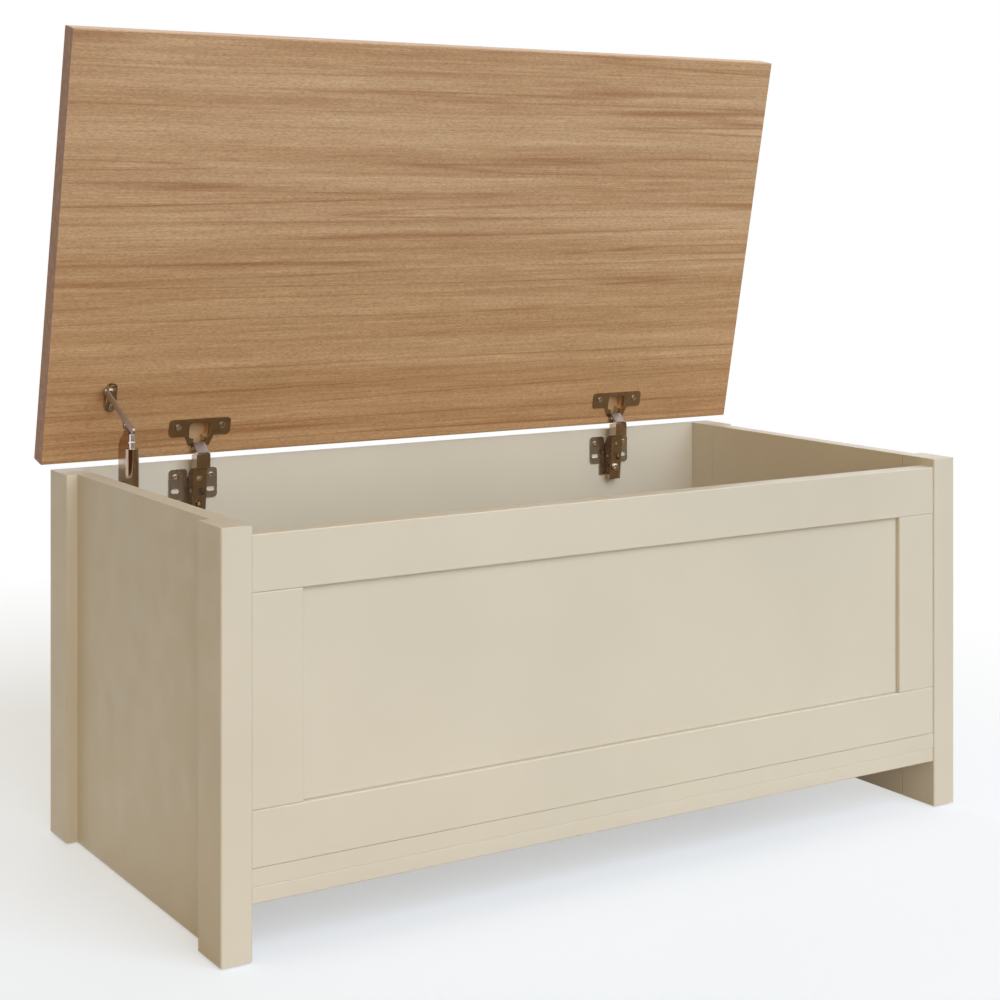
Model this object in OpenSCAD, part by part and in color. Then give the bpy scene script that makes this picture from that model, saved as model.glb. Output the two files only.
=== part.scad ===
// Storage ottoman: a painted blanket box on four corner posts, with a hinged wooden lid.
// Millimetres, +Z up, front towards -Y. The lid stands open at its stay's stop.

/* [Body] */
// Width over the corner posts
body_w = 822; // [640:1:1100]
// Depth over the corner posts
body_d = 410; // [340:1:520]
// Height of the box without the lid
body_h = 358; // [330:1:480]
// Width of a corner post, along the front
post_w = 28; // [24:1:40]
// Depth of a corner post, along the side
post_d = 47; // [36:1:60]
// Chamfer on the long edges of a post
post_chamfer = 1; // [0.5:0.25:3]
// Thickness of a side panel
side_t = 17; // [14:0.5:20]
// Thickness of the back panel
back_t = 7; // [6:0.5:12]
// Height of a glide below its post
glide_h = 1.5; // [1:0.5:4]

/* [Front] */
// Set-back of the front rails behind the posts
rail_recess = 1.5; // [1:0.5:4]
// Thickness of rails and stiles
rail_t = 17; // [14:0.5:22]
// Height of the top rail
top_rail_h = 48; // [36:1:60]
// Gap between the top rail and the top of the posts
top_rail_drop = 8; // [6:1:14]
// Height of the bottom rail
bottom_rail_h = 47.5; // [36:0.5:60]
// Width of a stile
stile_w = 47; // [36:1:70]
// Set-back of the centre panel behind the rails
panel_recess = 5; // [3:0.5:7]
// Thickness of the centre panel
panel_t = 8; // [6:0.5:9]
// Height of the apron strip under the base board
apron_h = 14; // [10:1:24]
// Height of the open space under the apron
floor_gap = 47.5; // [38:0.5:70]
// Depth of the groove along each joint of the front
joint_groove = 1; // [0.5:0.1:1.2]

/* [Base] */
// Thickness of the base board
base_t = 15; // [12:1:20]
// Side of a square batten under the base board
batten = 18; // [14:1:24]

/* [Lid] */
// Thickness of the lid
lid_t = 22; // [20:0.5:30]
// Overhang of the lid past the posts, each side
lid_side_over = 14; // [8:1:24]
// Overhang of the lid past the front posts
lid_front_over = 20; // [10:1:30]
// Rounding of the lid's long edges
lid_round = 1.6; // [0.6:0.2:3]
// Gap between the closed lid and the posts
lid_gap = 0.4; // [0.3:0.1:1]
// Opening angle of the lid as it stands
lid_open = 78; // [60:1:82]

/* [Hinge] */
// Distance of each hinge from its side of the box
hinge_in = 150; // [110:1:200]
// Width of the hinge arm
arm_w = 15; // [14:0.5:18]
// Thickness of the hinge's sheet steel
steel_t = 1; // [0.8:0.1:1.2]
// Distance of the arm's pin in front of the back of the box
arm_pin_in = 27; // [26:0.5:28]
// Height of the arm's pin over the box
arm_pin_up = 8; // [7.5:0.1:8.5]
// Length of the outer link between its pins
link_len = 16.6; // [16:0.1:17.2]
// Slope of the outer link with the lid closed
link_closed = -15; // [-17:0.5:-13]
// Turn of the outer link per degree of the lid
link_ratio = 0.68; // [0.66:0.01:0.7]
// Radius of the hinge pins
pin_r = 1.1; // [0.9:0.1:1.2]
// Running clearance round a pin
pin_fit = 0.05; // [0.02:0.01:0.1]
// Depth of the pocket in the lid
pocket_depth = 13.5; // [13:0.5:14.5]

/* [Stay] */
// Thickness of the stay's steel straps
strap_t = 2.2; // [1.8:0.1:2.6]
// Thickness of the stay's arm plate and brackets
plate_t = 2.5; // [2:0.1:3]
// Width of the stay's strap
strap_w = 6; // [5.5:0.25:7]
// Radius of the damper tube
tube_r = 6.5; // [5.5:0.5:7]
// Length of the damper tube
tube_len = 70; // [50:1:80]
// Radius of the stay's pivot pins
stay_pin_r = 2; // [1.8:0.1:2.6]

/* [Hidden] */

$fn = 48;
paint = [0.82, 0.79, 0.72];
wood = [0.69, 0.55, 0.41];
raw_wood = [0.78, 0.68, 0.52];
steel = [0.62, 0.6, 0.58];
dark_steel = [0.34, 0.27, 0.22];
plastic = [0.2, 0.2, 0.2];

// Faces of the box
half_w = body_w / 2;
half_d = body_d / 2;
inner_x = half_w - post_w;
hinge_x = half_w - hinge_in;
panel_x = inner_x + side_t;
back_y = half_d - back_t;
front_y = -half_d + rail_recess;
rail_back_y = front_y + rail_t;
rear_post_y = half_d - post_d;

// Heights
apron_z = floor_gap;
base_z = apron_z + apron_h;
bottom_rail_z = base_z + base_t;
panel_z = bottom_rail_z + bottom_rail_h;
top_rail_z = body_h - top_rail_drop - top_rail_h;
stile_h = top_rail_z - panel_z;

// Lid, closed
lid_z = body_h + lid_gap;
lid_rear_y = half_d;
lid_front_y = -half_d - lid_front_over;
lid_half_w = half_w + lid_side_over;

// Hinge linkage, in the (y, z) plane, angles counted from +Y towards +Z
function opened(v, t) = [v[0] * cos(t) + v[1] * sin(t), -v[0] * sin(t) + v[1] * cos(t)];
function polar(r, a) = [r * cos(a), r * sin(a)];
arm_pin = [half_d - arm_pin_in, body_h + arm_pin_up];
function cup_pin(t) = arm_pin + polar(link_len, link_closed + link_ratio * t);
function lid_point(p, t) = cup_pin(t) + opened(p - cup_pin(0), t);
function closed_point(p, t) = cup_pin(0) + opened(p - cup_pin(t), -t);
link_rest = link_closed + link_ratio * lid_open;

// Second link, from the arm's rear pin to the cup's rear pin
inner_pin_in = 20;
inner_pin_up = 5;
inner_cup_in = 7;
inner_cup_up = 5.8;
inner_pin = [half_d - inner_pin_in, body_h + inner_pin_up];
inner_cup_pin = [half_d - inner_cup_in, body_h + inner_cup_up];
inner_closed = 2.2;
inner_ratio = 0.54;
inner_rest = inner_closed + inner_ratio * lid_open;

// The model stands on the floor with its origin under the middle of its bounding box
round_centre = lid_point([lid_rear_y - lid_round, lid_z + lid_t - lid_round], lid_open);
rear_reach = max(half_d, round_centre[0] + lid_round);
shift_y = (half_d - rear_reach) / 2;

module in_frame() translate([0, shift_y, 0]) children();

// Carries a shape drawn on the closed lid to its open place
module on_lid() in_frame()
    translate([0, cup_pin(lid_open)[0], cup_pin(lid_open)[1]])
        rotate([-lid_open, 0, 0])
            translate([0, -cup_pin(0)[0], -cup_pin(0)[1]])
                children();

// Turns a shape drawn about the origin of the (y, z) plane and places it on a pin
module on_pin(p, a) in_frame() translate([0, p[0], p[1]]) rotate([a, 0, 0]) children();

module block(x, y, z) translate([x[0], y[0], z[0]]) cube([x[1] - x[0], y[1] - y[0], z[1] - z[0]]);

// Extrudes a (y, z) outline along X
module along_x(x0, x1) translate([x0, 0, 0]) rotate([90, 0, 90]) linear_extrude(x1 - x0) children();

module rod_x(p, r, x0, x1) translate([x0, p[0], p[1]]) rotate([0, 90, 0]) cylinder(r = r, h = x1 - x0);
module rod_y(x, z, r, y0, y1) translate([x, y0, z]) rotate([-90, 0, 0]) cylinder(r = r, h = y1 - y0);

// Flat bar with round ends between two points
module bar2d(p, q, w) {
    d = q - p;
    n = [-d[1], d[0]] / norm(d) * w / 2;
    translate(p) circle(d = w);
    translate(q) circle(d = w);
    polygon([p + n, p - n, q - n, q + n]);
}

module rounded2d(x, y, r) {
    translate([x[0] + r, y[0]]) square([x[1] - x[0] - 2 * r, y[1] - y[0]]);
    translate([x[0], y[0] + r]) square([x[1] - x[0], y[1] - y[0] - 2 * r]);
    for (cx = [x[0] + r, x[1] - r], cy = [y[0] + r, y[1] - r]) translate([cx, cy]) circle(r);
}

// Outline with its four corners cut at 45 degrees
module chamfered2d(x, y, c)
    polygon([[x[0] + c, y[0]], [x[1] - c, y[0]], [x[1], y[0] + c], [x[1], y[1] - c],
             [x[1] - c, y[1]], [x[0] + c, y[1]], [x[0], y[1] - c], [x[0], y[0] + c]]);

// Dowels: one list of places, used for the dowels and for their holes
dowel_r = 4;
dowel_len = 24;
dowel_fit = 0.1;
side_dowel_end = [80, 60];
side_dowel_z = [side_dowel_end[0], body_h / 2, body_h - side_dowel_end[1]];
rail_dowel_z = [top_rail_z + top_rail_h / 2, bottom_rail_z + bottom_rail_h / 2];
side_dowel_x = inner_x + side_t / 2;
rail_dowel_y = front_y + rail_t / 2;

module side_dowels(side, grow)
    for (end = [-1, 1], z = side_dowel_z)
        rod_y(side * side_dowel_x, z, dowel_r + grow,
              end * rear_post_y - dowel_len / 2 - grow, end * rear_post_y + dowel_len / 2 + grow);

module front_dowels(side, grow)
    for (z = rail_dowel_z)
        rod_x([rail_dowel_y, z], dowel_r + grow,
              side * inner_x - dowel_len / 2 - grow, side * inner_x + dowel_len / 2 + grow);

// Glides: a plastic stud in each post's end
glide_r = 9;
glide_stem_r = 3;
glide_stem = 12;

module glide(side, end) translate([side * (half_w - post_w / 2), end * (half_d - post_d / 2), 0]) children();

module post(side, end) color(paint) in_frame() difference() {
    x = side > 0 ? [inner_x, half_w] : [-half_w, -inner_x];
    y = end > 0 ? [rear_post_y, half_d] : [-half_d, -rear_post_y];
    translate([0, 0, glide_h]) linear_extrude(body_h - glide_h) chamfered2d(x, y, post_chamfer);
    side_dowels(side, dowel_fit);
    if (end < 0) front_dowels(side, dowel_fit);
    glide(side, end) translate([0, 0, -1]) cylinder(r = glide_stem_r + dowel_fit, h = glide_stem + glide_h + 2);
}

module floor_glides() color(plastic) in_frame()
    for (side = [-1, 1], end = [-1, 1]) glide(side, end) {
        cylinder(r = glide_r, h = glide_h);
        cylinder(r = glide_stem_r, h = glide_h + glide_stem);
    }

module frame_dowels() color(raw_wood) in_frame()
    for (side = [-1, 1]) {
        side_dowels(side, 0);
        front_dowels(side, 0);
    }

module side_panel(side) color(paint) in_frame() difference() {
    x = side > 0 ? [inner_x, panel_x] : [-panel_x, -inner_x];
    block(x, [-rear_post_y, rear_post_y], [glide_h, body_h]);
    side_dowels(side, dowel_fit);
    if (side < 0) wall_screws(screw_fit);
}

module back_panel() color(paint) in_frame() difference() {
    block([-inner_x, inner_x], [back_y, half_d], [apron_z, body_h]);
    for (side = [-1, 1]) translate([side * hinge_x, 0, 0]) plate_screw_set(screw_fit);
}

module base_panel() color(paint) in_frame()
    block([-inner_x, inner_x], [front_y, back_y], [base_z, base_z + base_t]);

module base_batten(side) color(raw_wood) in_frame()
    block(side > 0 ? [inner_x - batten, inner_x] : [-inner_x, -inner_x + batten],
          [rail_back_y, back_y], [base_z - batten, base_z]);

module rail(z, h) in_frame() difference() {
    front_board([-inner_x, inner_x], [z, z + h]);
    for (side = [-1, 1]) front_dowels(side, dowel_fit);
}

// Board of the front frame, with a shallow chamfer on its four face edges
module front_board(x, z) difference() {
    block(x, [front_y, rail_back_y], z);
    for (edge = z) translate([0, front_y, edge]) rotate([45, 0, 0])
        cube([body_w, joint_groove, joint_groove], center = true);
    for (edge = x) translate([edge, front_y, 0]) rotate([0, 0, 45])
        cube([joint_groove, joint_groove, 2 * body_h], center = true);
}

module front_top_rail() color(paint) rail(top_rail_z, top_rail_h);
module front_bottom_rail() color(paint) rail(bottom_rail_z, bottom_rail_h);
module apron_strip() color(paint) in_frame() front_board([-inner_x, inner_x], [apron_z, base_z]);

module stile(side) color(paint) in_frame()
    front_board(side > 0 ? [inner_x - stile_w, inner_x] : [-inner_x, -inner_x + stile_w],
                [panel_z, top_rail_z]);

module front_panel() color(paint) in_frame()
    block([-inner_x + stile_w, inner_x - stile_w],
          [front_y + panel_recess, front_y + panel_recess + panel_t], [panel_z, top_rail_z]);

// Hinge sizes, across the hinge about its own middle and back from the lid's rear edge
flange_t = 1.2;
flange_half_w = 33.5;
flange_v = [20, 38];
flange_round = 4;
window_half_w = 11.5;
window_v = [17, 34];
window_round = 4;
prong_v = 9.5;
prong_half_w = [16, 11];
slot_half_w = arm_w / 2 - steel_t;
cup_screw_v = 30;
cup_screw_x = 24;
ear_x = [slot_half_w, slot_half_w + steel_t];
pocket_half_w = ear_x[1] + 0.4;
pocket_rear_v = 2.2;
screw_fit = 0.1;
screw_r = 1.75;
screw_head_r = 3.2;
screw_head_top_r = 2.2;
screw_head_h = 1.2;
cup_screw_len = 9;
side_gap = 0.2;

// Places an outline drawn as (x, v) on the underside of the closed lid, hinge by hinge
module under_lid(side, z0, h)
    translate([side * hinge_x, lid_rear_y, lid_z + z0])
        linear_extrude(h) scale([1, -1]) children();

module window2d() rounded2d([-window_half_w, window_half_w], window_v, window_round);

module pocket(side) {
    under_lid(side, -1, pocket_depth + 1) {
        window2d();
        translate([-pocket_half_w, pocket_rear_v])
            square([2 * pocket_half_w, window_v[0] + window_round - pocket_rear_v]);
    }
}

module cup_screw_set(side, grow)
    for (sx = [-1, 1])
        translate([side * hinge_x + sx * cup_screw_x, lid_rear_y - cup_screw_v, lid_z - flange_t])
            cylinder(r = screw_r + grow, h = flange_t + cup_screw_len + grow);

// Slab whose long edges are rounded, drawn as a (y, z) outline
module lid_board() color(wood) on_lid() difference() {
    along_x(-lid_half_w, lid_half_w)
        rounded2d([lid_front_y, lid_rear_y], [lid_z, lid_z + lid_t], lid_round);
    for (side = [-1, 1]) {
        pocket(side);
        cup_screw_set(side, screw_fit);
    }
    lid_screw_set(screw_fit);
}

module ear2d() {
    translate(cup_pin(0)) circle(2.4);
    translate(inner_cup_pin) circle(2.2);
    polygon([[lid_rear_y - 15, lid_z - flange_t], [lid_rear_y - prong_v, lid_z - flange_t],
             [lid_rear_y - 5.4, lid_z + 2.2], inner_cup_pin + [2, 1], inner_cup_pin + [-1, 2.1],
             cup_pin(0) + [-2, 1.6]]);
}

module hinge_cup(side) color(dark_steel) on_lid() {
    under_lid(side, -flange_t, flange_t) difference() {
        union() {
            rounded2d([-flange_half_w, flange_half_w], flange_v, flange_round);
            polygon([[-prong_half_w[0], flange_v[0] + 1], [-prong_half_w[1], prong_v],
                     [prong_half_w[1], prong_v], [prong_half_w[0], flange_v[0] + 1]]);
        }
        window2d();
        translate([-slot_half_w, 0]) square([2 * slot_half_w, window_v[0] + window_round]);
        for (sx = [-1, 1]) translate([sx * cup_screw_x, cup_screw_v]) circle(screw_r + screw_fit);
    }
    translate([side * hinge_x, 0, 0])
        for (s = [-1, 1]) {
            along_x(s > 0 ? ear_x[0] : -ear_x[1], s > 0 ? ear_x[1] : -ear_x[0]) ear2d();
            rod_x(cup_pin(0), pin_r, s > 0 ? slot_half_w - 1.3 : -slot_half_w,
                  s > 0 ? slot_half_w : 1.3 - slot_half_w);
            rod_x(inner_cup_pin, 1, -slot_half_w, slot_half_w);
        }
}

module cup_screws(side) color(steel) on_lid()
    for (sx = [-1, 1])
        translate([side * hinge_x + sx * cup_screw_x, lid_rear_y - cup_screw_v, lid_z - flange_t])
            mirror([0, 0, 1]) {
                cylinder(r1 = screw_head_r, r2 = screw_head_top_r, h = screw_head_h);
                translate([0, 0, 1 - flange_t - cup_screw_len])
                    cylinder(r = screw_r, h = flange_t + cup_screw_len - 1);
            }

// Links, drawn with their arm pin at the origin and their length along +Y
link_half_w = slot_half_w - side_gap;
link_eye_r = 2.4;
web_low = 2.9;
web_from = -1.5;
web_to = 13;
inner_half_w = 3;
inner_bar = 1.7;
inner_eye_r = 2.2;
inner_tip = [11.1, 1.5];

// Side plate of the outer link: its lower edge clears the arm's rear pin
module outer_side2d() difference() {
    union() {
        circle(link_eye_r);
        translate([link_len, 0]) circle(link_eye_r);
        polygon([[-2, 1.2], [web_from, web_low + steel_t], [web_to, web_low + steel_t],
                 [link_len + 1.8, 1.5], [link_len - 1.6, -1.7], [10.5, 0.35], [5, 0.35], [1.4, -1.9]]);
    }
    circle(pin_r + pin_fit);
    translate([link_len, 0]) circle(pin_r + pin_fit);
}

module outer_link(side) color(steel) on_pin(arm_pin, link_rest) translate([side * hinge_x, 0, 0]) {
    for (s = [-1, 1])
        along_x(s > 0 ? link_half_w - steel_t : -link_half_w, s > 0 ? link_half_w : steel_t - link_half_w)
            outer_side2d();
    along_x(-link_half_w, link_half_w) translate([web_from, web_low]) square([web_to - web_from, steel_t]);
}

// Inner link under the outer one: its far end stops short of the cup's rear pin
module inner_link(side) color(steel) on_pin(inner_pin, inner_rest)
    translate([side * hinge_x, 0, 0])
        along_x(-inner_half_w, inner_half_w) difference() {
            union() {
                circle(inner_eye_r);
                bar2d([0, 0], inner_tip, inner_bar);
            }
            circle(pin_r + pin_fit);
        }

// Hinge arm: a channel of sheet steel with a cranked head
arm_top_in = 23;
arm_foot_in = 17.5;
arm_foot_down = 57.5;
arm_rear_in = 9.5;
head_in = 30.8;
arm_top = [half_d - arm_top_in, body_h - 8];
arm_foot = [half_d - arm_foot_in, body_h - arm_foot_down];
arm_rear_y = half_d - arm_rear_in;
head_y = half_d - head_in;
head_z = body_h - 6;
arm_x = [arm_w / 2 - steel_t, arm_w / 2];

module arm_cheek2d() difference() {
    union() {
        polygon([arm_foot, arm_top, [head_y, head_z], [head_y, arm_pin[1]], [arm_pin[0] + 2, arm_pin[1]],
                 inner_pin + [2.2, 0], inner_pin + [2.2, -8], [half_d - 15, body_h - 8],
                 [arm_rear_y, body_h - 14],
                 [arm_rear_y, arm_foot[1] + 8], [arm_rear_y - 4, arm_foot[1]]]);
        translate(arm_pin) circle(arm_pin[0] - head_y - 0.2);
        translate(inner_pin) circle(2.3);
    }
    translate([half_d - 15, body_h - 30]) bar_hole();
    translate(arm_pin) circle(pin_r);
    translate(inner_pin) circle(pin_r);
}

module bar_hole() bar2d([-1.5, 0], [1.5, 0], 5);

// Front strip of the arm along the slope of its foot, and of its head
module arm_web2d() {
    d = (arm_top - arm_foot) / norm(arm_top - arm_foot);
    n = [d[1], -d[0]] * steel_t;
    polygon([arm_foot, arm_top, [head_y, head_z], [head_y, arm_pin[1]], [head_y + steel_t, arm_pin[1]],
             [head_y + steel_t, head_z + 0.5], arm_top + n + [0.2, 0.5], arm_foot + n]);
}

fix_screw_down = 43.5;
adjust_screw_down = 16;
square_down = 31;
square_side = 7;
fix_screw_r = 2.1;
fix_head_r = 4.2;
fix_head_h = 2.1;
adjust_screw_r = 1.9;
fix_screw_z = body_h - fix_screw_down;
adjust_screw_z = body_h - adjust_screw_down;
square_z = body_h - square_down;

module square_hole(y0, y1) block([-0.5, 5], [y0, y1], [square_z - square_side / 2, square_z + square_side / 2]);

module hinge_arm(side) color(dark_steel) in_frame() translate([side * hinge_x, 0, 0]) {
    for (s = [-1, 1]) along_x(s > 0 ? arm_x[0] : -arm_x[1], s > 0 ? arm_x[1] : -arm_x[0]) arm_cheek2d();
    difference() {
        along_x(-arm_x[1], arm_x[1]) arm_web2d();
        rod_y(-1, fix_screw_z, fix_screw_r + 0.5, head_y, arm_rear_y);
        rod_y(-1, adjust_screw_z, adjust_screw_r + side_gap, head_y, arm_rear_y);
        square_hole(head_y, arm_rear_y);
    }
}

module arm_pins(side) color(steel) in_frame() translate([side * hinge_x, 0, 0]) {
    for (pin = [arm_pin, inner_pin]) rod_x(pin, pin_r, -arm_w / 2 - 0.3, arm_w / 2 + 0.3);
}

// Mounting plate: two screwed wings and a raised spine inside the arm
mount_t = 1.5;
plate_shift = -2;
plate_half_w = 26.5;
wing_inner = 6.5;
wing_z = [body_h - 39.5, body_h - 8.5];
spine_in = 15.5;
spine_half_w = arm_w / 2 - steel_t - side_gap;
spine_y = half_d - spine_in;
plate_screw_x = 19.5;
plate_screw_down = 16.5;
oval_down = 30.5;
plate_screw_len = 5.5;
plate_screw_z = body_h - plate_screw_down;
oval_z = body_h - oval_down;

// Places an (x, z) outline against the inside of the back panel, from y0 towards the front
module on_back(y, t) translate([0, y, 0]) rotate([90, 0, 0]) linear_extrude(t) children();

module plate_screw_set(grow)
    for (s = [-1, 1])
        rod_y(plate_shift + s * plate_screw_x, plate_screw_z, screw_r + grow,
              back_y - mount_t - 1, back_y + plate_screw_len + grow);

module mounting_plate(side) color(steel) in_frame() translate([side * hinge_x, 0, 0]) {
    difference() {
        on_back(back_y, mount_t) difference() {
            union() {
                translate([plate_shift, 0]) {
                    rounded2d([-plate_half_w, -wing_inner], wing_z, 4);
                    rounded2d([wing_inner, plate_half_w], wing_z, 4);
                    translate([-wing_inner - 5, wing_z[0] + 3])
                        square([2 * wing_inner + 10, wing_z[1] - wing_z[0] - 11]);
                }
                translate([plate_shift - 13.5, body_h - 53]) square([8.5, 20]);
            }
            for (s = [-1, 1]) translate([plate_shift + s * plate_screw_x, oval_z])
                bar2d([-2.2, 0], [2.2, 0], 5);
        }
        plate_screw_set(screw_fit);
    }
    difference() {
        block([-spine_half_w, spine_half_w], [spine_y, back_y - mount_t], [body_h - 52, body_h - 14]);
        rod_y(-1, fix_screw_z, fix_screw_r + screw_fit, spine_y - 1, back_y - mount_t - 1);
        rod_y(-1, adjust_screw_z, adjust_screw_r + screw_fit, spine_y - 1, back_y - mount_t - 1);
        square_hole(spine_y - 1, spine_y + 5);
    }
}

arm_slope = (arm_top[0] - arm_foot[0]) / (arm_top[1] - arm_foot[1]);
function arm_face_y(z) = arm_foot[0] + arm_slope * (z - arm_foot[1]);

module arm_screws(side) color(steel) in_frame() translate([side * hinge_x, 0, 0]) {
    face_y = arm_face_y(fix_screw_z) - 0.5;
    rod_y(-1, fix_screw_z, fix_head_r, face_y - fix_head_h, face_y);
    rod_y(-1, fix_screw_z, fix_screw_r, face_y - 0.1, back_y - mount_t - 1.5);
    rod_y(-1, adjust_screw_z, adjust_screw_r, arm_face_y(adjust_screw_z) - 0.2, back_y - mount_t - 1.5);
}

module plate_screws(side) color(steel) in_frame() translate([side * hinge_x, 0, 0])
    for (s = [-1, 1]) {
        x = plate_shift + s * plate_screw_x;
        rod_y(x, plate_screw_z, screw_r, back_y - mount_t - 0.2, back_y + plate_screw_len - 0.5);
        translate([x, back_y - mount_t, plate_screw_z]) rotate([90, 0, 0])
            cylinder(r1 = screw_head_r, r2 = screw_head_top_r, h = screw_head_h);
    }

// Lid stay, open places in from the back of the box and up from its top edge
wall_pivot_in = 64.6;
wall_pivot_down = 13.8;
elbow_in = 89.2;
elbow_up = 49;
lid_pivot_in = 38.4;
lid_pivot_up = 78.1;
tail_in = 107.5;
tail_up = 46;
damper_in = 106.2;
wall_pivot = [half_d - wall_pivot_in, body_h - wall_pivot_down];
elbow = [half_d - elbow_in, body_h + elbow_up];
lid_pivot = [half_d - lid_pivot_in, body_h + lid_pivot_up];
tail = [half_d - tail_in, body_h + tail_up];
damper_y = half_d - damper_in;

// Damper and its plunger
tube_rise = 29;
tube_bore = 30;
plunger_r = 2.5;
plunger_len = 24;
collar_r = 3.4;
collar_h = 1.4;
collar_up = 5.2;
tube_top = body_h + tube_rise;
plunger_top = tail[1] - strap_w / 2 - 0.3;

// Plates of the stay, side by side along X
wall_gap = 17.1;
stay_x = wall_gap - inner_x;
strap_x = [stay_x - strap_t - side_gap, stay_x - side_gap];
arm_plate_x = [stay_x, stay_x + plate_t];
damper_x = stay_x - 1.5;
plate_front_y = damper_y + 4;
plate_rear_in = 66.6;
plate_rear_y = half_d - plate_rear_in;
shoulder_up = 6.5;
shoulder_in = 5;
elbow_r = 4.8;
lobe_r = 4.2;
boss_r = 6.5;
pivot_plate_r = 6.9;
rivet_grow = 1.6;
clamp_h = 8;
clamp_t = 1.2;
clamp_down = [52, 66];
clamp_z = [tube_top - clamp_down[0], tube_top - clamp_down[1]];
wall_plate_w = 36.4;
wall_plate_down = [60, 6];
wall_plate_round = 5;
wall_plate_rim = 8;
wall_screw_r = 2;
wall_screw_len = 11;
wall_head_r = 3.8;
wall_head_top_r = 2.6;
wall_head_h = 1.6;
wall_plate_y = [wall_pivot[0] + pivot_plate_r - wall_plate_w, wall_pivot[0] + pivot_plate_r];
wall_plate_z = [body_h - wall_plate_down[0], body_h - wall_plate_down[1]];
wall_screw_at = [[wall_plate_y[0] + wall_plate_rim, wall_plate_z[0] + wall_plate_rim],
                 [wall_plate_y[1] - wall_plate_rim, wall_plate_z[0] + wall_plate_rim],
                 [wall_plate_y[0] + wall_plate_rim, wall_plate_z[1] - wall_plate_rim]];

module wall_screws(grow)
    for (at = wall_screw_at)
        rod_x(at, wall_screw_r + grow, -inner_x - wall_screw_len - grow, -inner_x + plate_t);

module stay_wall_bracket() color(dark_steel) in_frame() {
    difference() {
        along_x(-inner_x, -inner_x + plate_t)
            rounded2d(wall_plate_y, wall_plate_z, wall_plate_round);
        wall_screws(screw_fit);
    }
    rod_x(wall_pivot, boss_r, -inner_x + plate_t, arm_plate_x[0] - 0.3);
    rod_x(wall_pivot, stay_pin_r, -inner_x + plate_t, arm_plate_x[1] + 0.4);
    rod_x(wall_pivot, stay_pin_r + rivet_grow, arm_plate_x[1] + 0.3, arm_plate_x[1] + 1.6);
}

module stay_wall_screws() color(steel) in_frame() {
    wall_screws(0);
    for (at = wall_screw_at)
        translate([-inner_x + plate_t, at[0], at[1]]) rotate([0, 90, 0])
            cylinder(r1 = wall_head_r, r2 = wall_head_top_r, h = wall_head_h);
}

module stay_arm() color(steel) in_frame() {
    difference() {
        along_x(arm_plate_x[0], arm_plate_x[1]) difference() {
            stay_arm2d();
            translate(wall_pivot) circle(stay_pin_r + pin_fit);
        }
        translate([damper_x, damper_y, 0]) cylinder(r = tube_r + 0.3, h = 2 * body_h);
    }
    rod_x(elbow, stay_pin_r, strap_x[0] - 0.2, arm_plate_x[1]);
    rod_x(elbow, stay_pin_r + rivet_grow / 2, strap_x[0] - 1.1, strap_x[0] - 0.1);
    for (z = clamp_z) translate([0, 0, z]) difference() {
        union() {
            translate([damper_x, damper_y, 0]) cylinder(r = tube_r + clamp_t, h = clamp_h);
            block(arm_plate_x, [damper_y, damper_y + tube_r + 5], [0, clamp_h]);
        }
        translate([damper_x, damper_y, -1]) cylinder(r = tube_r + 0.05, h = clamp_h + 2);
    }
}

// Arm plate: narrow under the strap, wide behind the tube, with the wall pivot at its foot
module stay_arm2d() {
    translate(wall_pivot) circle(pivot_plate_r);
    translate(elbow) circle(elbow_r);
    polygon([elbow + [-elbow_r + 0.2, -1.5], elbow + [3.2, 3.4],
             [plate_rear_y - 3 * shoulder_in, tube_top + 2 * shoulder_up],
             [plate_rear_y - shoulder_in, tube_top + shoulder_up],
             [plate_rear_y, tube_top - 1], [plate_rear_y, wall_pivot[1] + pivot_plate_r / 2],
             wall_pivot + [0, -pivot_plate_r], wall_pivot + [-6, -7],
             [plate_front_y, tube_top - tube_len + 10], [plate_front_y, tube_top - 1],
             [plate_front_y + 6.5, tube_top + 1], [plate_front_y + 8, tube_top + 8]]);
}

module stay_damper_tube() color(dark_steel) in_frame() translate([damper_x, damper_y, 0]) {
    difference() {
        translate([0, 0, tube_top - tube_len]) cylinder(r = tube_r, h = tube_len);
        translate([0, 0, tube_top - tube_bore]) cylinder(r = plunger_r + pin_fit, h = tube_bore + 1);
    }
}

module stay_plunger() color(steel) in_frame() translate([damper_x, damper_y, 0]) {
    translate([0, 0, tube_top - plunger_len]) cylinder(r = plunger_r, h = plunger_top - tube_top + plunger_len);
    translate([0, 0, tube_top + collar_up]) cylinder(r = collar_r, h = collar_h);
}

// Strap: straight from the lid to the plunger, with a lobe for the elbow's rivet
module stay_strap() color(steel) in_frame() {
    along_x(strap_x[0], strap_x[1]) difference() {
        union() {
            bar2d(lid_pivot, tail, strap_w);
            translate(elbow) circle(lobe_r);
            polygon([elbow + [-lobe_r + 0.1, 0.6], tail + [3, 1.5], elbow + [3 * lobe_r, 2.6 * lobe_r],
                     elbow + [lobe_r - 0.8, -2.4]]);
        }
        translate(elbow) circle(stay_pin_r + pin_fit);
    }
    rod_x(lid_pivot, stay_pin_r, strap_x[0], arm_plate_x[1] + 0.4);
    rod_x(lid_pivot, stay_pin_r + rivet_grow / 2, strap_x[0] - 1, strap_x[0]);
    rod_x(lid_pivot, stay_pin_r + rivet_grow, arm_plate_x[1] + 0.3, arm_plate_x[1] + 1.3);
}

// Lid bracket: an oblong plate under the lid and an ear for the strap's pin
bracket_v = [51.5, 80.5];
bracket_w = 11.2;
bracket_x = [arm_plate_x[0] + 1, arm_plate_x[0] + 1 + bracket_w];
bracket_round = 5;
lid_screw_x = bracket_x[0] + bracket_w / 2 + 0.8;
ear_r = 4.2;
ear_slack = 0.3;
lid_screw_len = 10;
lid_screw_v = [bracket_v[0] + 4.5, bracket_v[1] - 5];

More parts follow.
